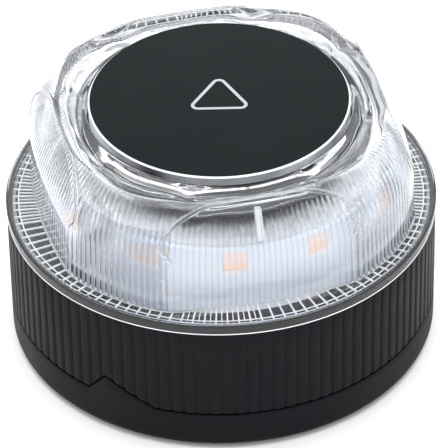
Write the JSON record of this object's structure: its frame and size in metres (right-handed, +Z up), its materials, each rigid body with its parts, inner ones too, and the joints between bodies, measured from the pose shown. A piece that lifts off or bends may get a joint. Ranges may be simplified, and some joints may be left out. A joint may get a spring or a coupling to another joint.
{
  "type": "led safety flare",
  "caption": "Low round roadside warning beacon: ribbed battery housing with a turning magnetic base cap, clear faceted lens over a ring of amber LEDs, push button on top.",
  "frame": {"origin": "centre of the underside, on the surface that the beacon stands on", "axes": "+Z up, out of the push button; -Y towards the front, where the wedge mark on the base cap is just to the left"},
  "size_m": [0.09, 0.09, 0.0563],
  "materials": {
    "base_shell": "fine moulded texture, matte",
    "foot_rubber": "matte",
    "clear_lens": "clear moulded polycarbonate, polished",
    "button_gloss": "satin gloss",
    "white_plastic": "satin",
    "led_amber": "phosphor window in a pale package",
    "led_strip": "white solder mask",
    "green_board": "green solder mask on glass fibre",
    "plated_steel": "nickel plated",
    "magnet_nickel": "nickel plated",
    "antenna_ceramic": "fired ceramic",
    "dark_component": "moulded epoxy",
    "cell_sleeve": "shrink sleeve"
  },
  "bodies": {
    "housing": {"base_housing": "base_shell", "lens_gasket": "foot_rubber", "lens": "clear_lens", "led_carrier": "white_plastic", "led_board": "led_strip", "led_1": "led_amber", "led_2": "led_amber", "led_3": "led_amber", "led_4": "led_amber", "led_5": "led_amber", "led_6": "led_amber", "led_7": "led_amber", "led_8": "led_amber", "led_9": "led_amber", "led_10": "led_amber", "led_11": "led_amber", "led_12": "led_amber", "carrier_screw_1": "plated_steel", "carrier_screw_2": "plated_steel", "carrier_screw_3": "plated_steel", "carrier_screw_4": "plated_steel", "main_board": "green_board", "board_screw_1": "plated_steel", "board_screw_2": "plated_steel", "board_screw_3": "plated_steel", "modem_module": "plated_steel", "satellite_antenna": "antenna_ceramic", "mobile_antenna": "dark_component", "sim_chip": "dark_component", "driver_chip": "dark_component", "power_inductor": "dark_component", "power_capacitor": "dark_component", "switch_body": "dark_component", "button_seal": "foot_rubber", "button_spring": "plated_steel", "battery_tray": "base_shell", "battery_1": "cell_sleeve", "battery_2": "cell_sleeve", "battery_3": "cell_sleeve", "battery_spring_1": "plated_steel", "battery_spring_2": "plated_steel", "battery_spring_3": "plated_steel", "contact_minus": "plated_steel", "contact_bridge_1": "plated_steel", "contact_bridge_2": "plated_steel", "contact_plus": "plated_steel"},
    "seal": {"cap_seal": "foot_rubber"},
    "cap": {"base_cap": "base_shell", "foot_pad": "foot_rubber", "magnet_plate": "plated_steel", "magnet_1": "magnet_nickel", "magnet_2": "magnet_nickel", "magnet_3": "magnet_nickel", "magnet_4": "magnet_nickel", "plate_screw_1": "plated_steel", "plate_screw_2": "plated_steel"},
    "button": {"top_button": "button_gloss"},
    "plunger": {"switch_plunger": "white_plastic"}
  },
  "joints": [
    {"name": "cap_lift", "type": "slide", "parent": "housing", "child": "seal", "axis": [0, 0, -1], "range_m": [0, 0.0049]},
    {"name": "cap_turn", "type": "hinge", "parent": "seal", "child": "cap", "pos_m": [0, 0, 0.0084], "axis": [0, 0, 1], "range_deg": [0, 14.4]},
    {"name": "button_press", "type": "slide", "parent": "housing", "child": "button", "axis": [0, 0, -1], "range_m": [0, 0.0013], "stiffness_N_per_m": 900, "springref_m": -0.0012, "deforming": ["button_spring"]},
    {"name": "plunger_press", "type": "slide", "parent": "housing", "child": "plunger", "axis": [0, 0, -1], "range_m": [0, 0.0013]}
  ],
  "couplings": [
    {"joint": "cap_lift", "follows": "cap_turn", "m_per_rad": 0.019496},
    {"joint": "plunger_press", "follows": "button_press", "ratio": 1}
  ]
}
